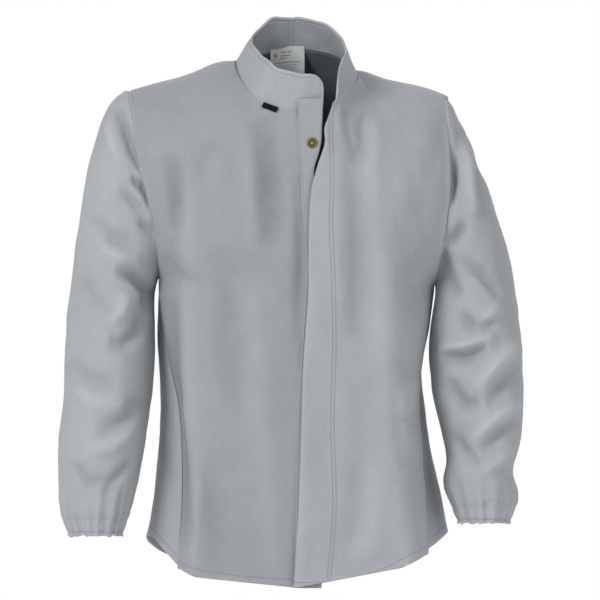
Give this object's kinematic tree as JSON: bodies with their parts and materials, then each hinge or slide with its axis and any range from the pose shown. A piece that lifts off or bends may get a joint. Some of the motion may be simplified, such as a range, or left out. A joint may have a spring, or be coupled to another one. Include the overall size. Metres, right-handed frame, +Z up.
{
  "type": "leather welding jacket",
  "caption": "Split-leather welding jacket with stand-up collar, concealed press-stud front, set-in sleeves and elasticated cuffs, hung as worn.",
  "frame": {"origin": "middle of the neck opening at the height of the shoulder-neck points, where the wearer or a hanger holds the jacket up", "axes": "+Z up, the fronts face -Y, +X to the wearer's left"},
  "size_m": [0.6514, 0.283, 0.7977],
  "materials": {
    "suede": "light grey split leather, matt and napped",
    "back_cloth": "dark grey woven lining",
    "elastic": "grey woven elastic",
    "label": "white woven tape with plain grey marks",
    "tag": "black woven tape",
    "brass": "aged brass, satin"
  },
  "bodies": {
    "body": {"right_front_side": "suede", "left_front_side": "suede", "back_panel": "suede", "back_lining": "back_cloth", "collar_back_outer": "suede", "collar_back_inner": "suede", "neck_label": "label"},
    "right_front": {"right_front_panel": "suede", "right_placket": "suede", "collar_right_outer": "suede", "collar_right_inner": "suede", "name_tag": "tag", "stud_1": "brass", "stud_2": "brass", "stud_3": "brass", "stud_4": "brass", "stud_5": "brass", "stud_post_1": "brass", "stud_post_2": "brass", "stud_post_3": "brass", "stud_post_4": "brass", "stud_post_5": "brass"},
    "left_front": {"left_front_panel": "suede", "left_snap_facing": "suede", "collar_left_outer": "suede", "collar_left_inner": "suede", "snap_cap_1": "brass", "snap_cap_2": "brass", "snap_cap_3": "brass", "snap_cap_4": "brass", "snap_cap_5": "brass", "snap_socket_1": "brass", "snap_socket_2": "brass", "snap_socket_3": "brass", "snap_socket_4": "brass", "snap_socket_5": "brass"},
    "right_arm": {"right_sleeve": "suede", "right_cuff": "suede", "right_cuff_elastic": "elastic"},
    "left_arm": {"left_sleeve": "suede", "left_cuff": "suede", "left_cuff_elastic": "elastic"}
  },
  "joints": [
    {"name": "left_front_open", "type": "hinge", "parent": "body", "child": "left_front", "pos_m": [0.0725, -0.1235, -0.037], "axis": [-0.1151, 0.0059, 0.9933], "range_deg": [0, 72]},
    {"name": "right_front_open", "type": "hinge", "parent": "body", "child": "right_front", "pos_m": [-0.0595, -0.1225, -0.042], "axis": [-0.1182, -0.0059, -0.993], "range_deg": [0, 26]},
    {"name": "left_sleeve_raise", "type": "hinge", "parent": "body", "child": "left_arm", "pos_m": [0.2145, 0, -0.0505], "axis": [0, -1, 0], "range_deg": [0, 60]},
    {"name": "right_sleeve_raise", "type": "hinge", "parent": "body", "child": "right_arm", "pos_m": [-0.2325, 0, -0.0395], "axis": [0, 1, 0], "range_deg": [0, 60]}
  ],
  "couplings": [
    {"joint": "right_front_open", "follows": "left_front_open", "ratio": 0.36}
  ]
}
